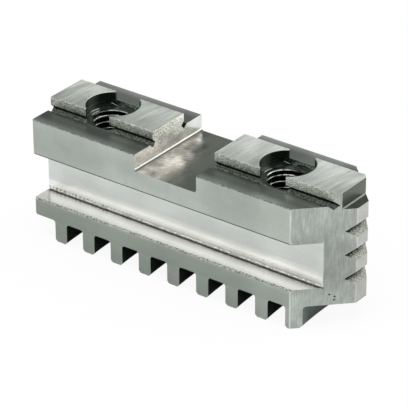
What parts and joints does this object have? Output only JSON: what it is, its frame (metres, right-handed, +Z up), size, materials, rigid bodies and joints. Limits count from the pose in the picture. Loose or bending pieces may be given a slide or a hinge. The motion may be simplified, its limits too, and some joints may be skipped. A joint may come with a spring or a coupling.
{
  "type": "chuck base jaw",
  "caption": "Base jaw of a scroll chuck: a grooved steel block with curved teeth below, a tongue and cross slot above for a bolt-on top jaw, threaded holes and a notched V nose.",
  "frame": {"origin": "middle of the jaw's length and width, on the plane of the tooth tips", "axes": "+X along the jaw towards the V nose, +Y across it, +Z up from the teeth to the tongue"},
  "size_m": [0.0912, 0.0276, 0.0363],
  "materials": {
    "steel": "satin"
  },
  "bodies": {
    "root": {"base_jaw": "steel"}
  },
  "joints": []
}
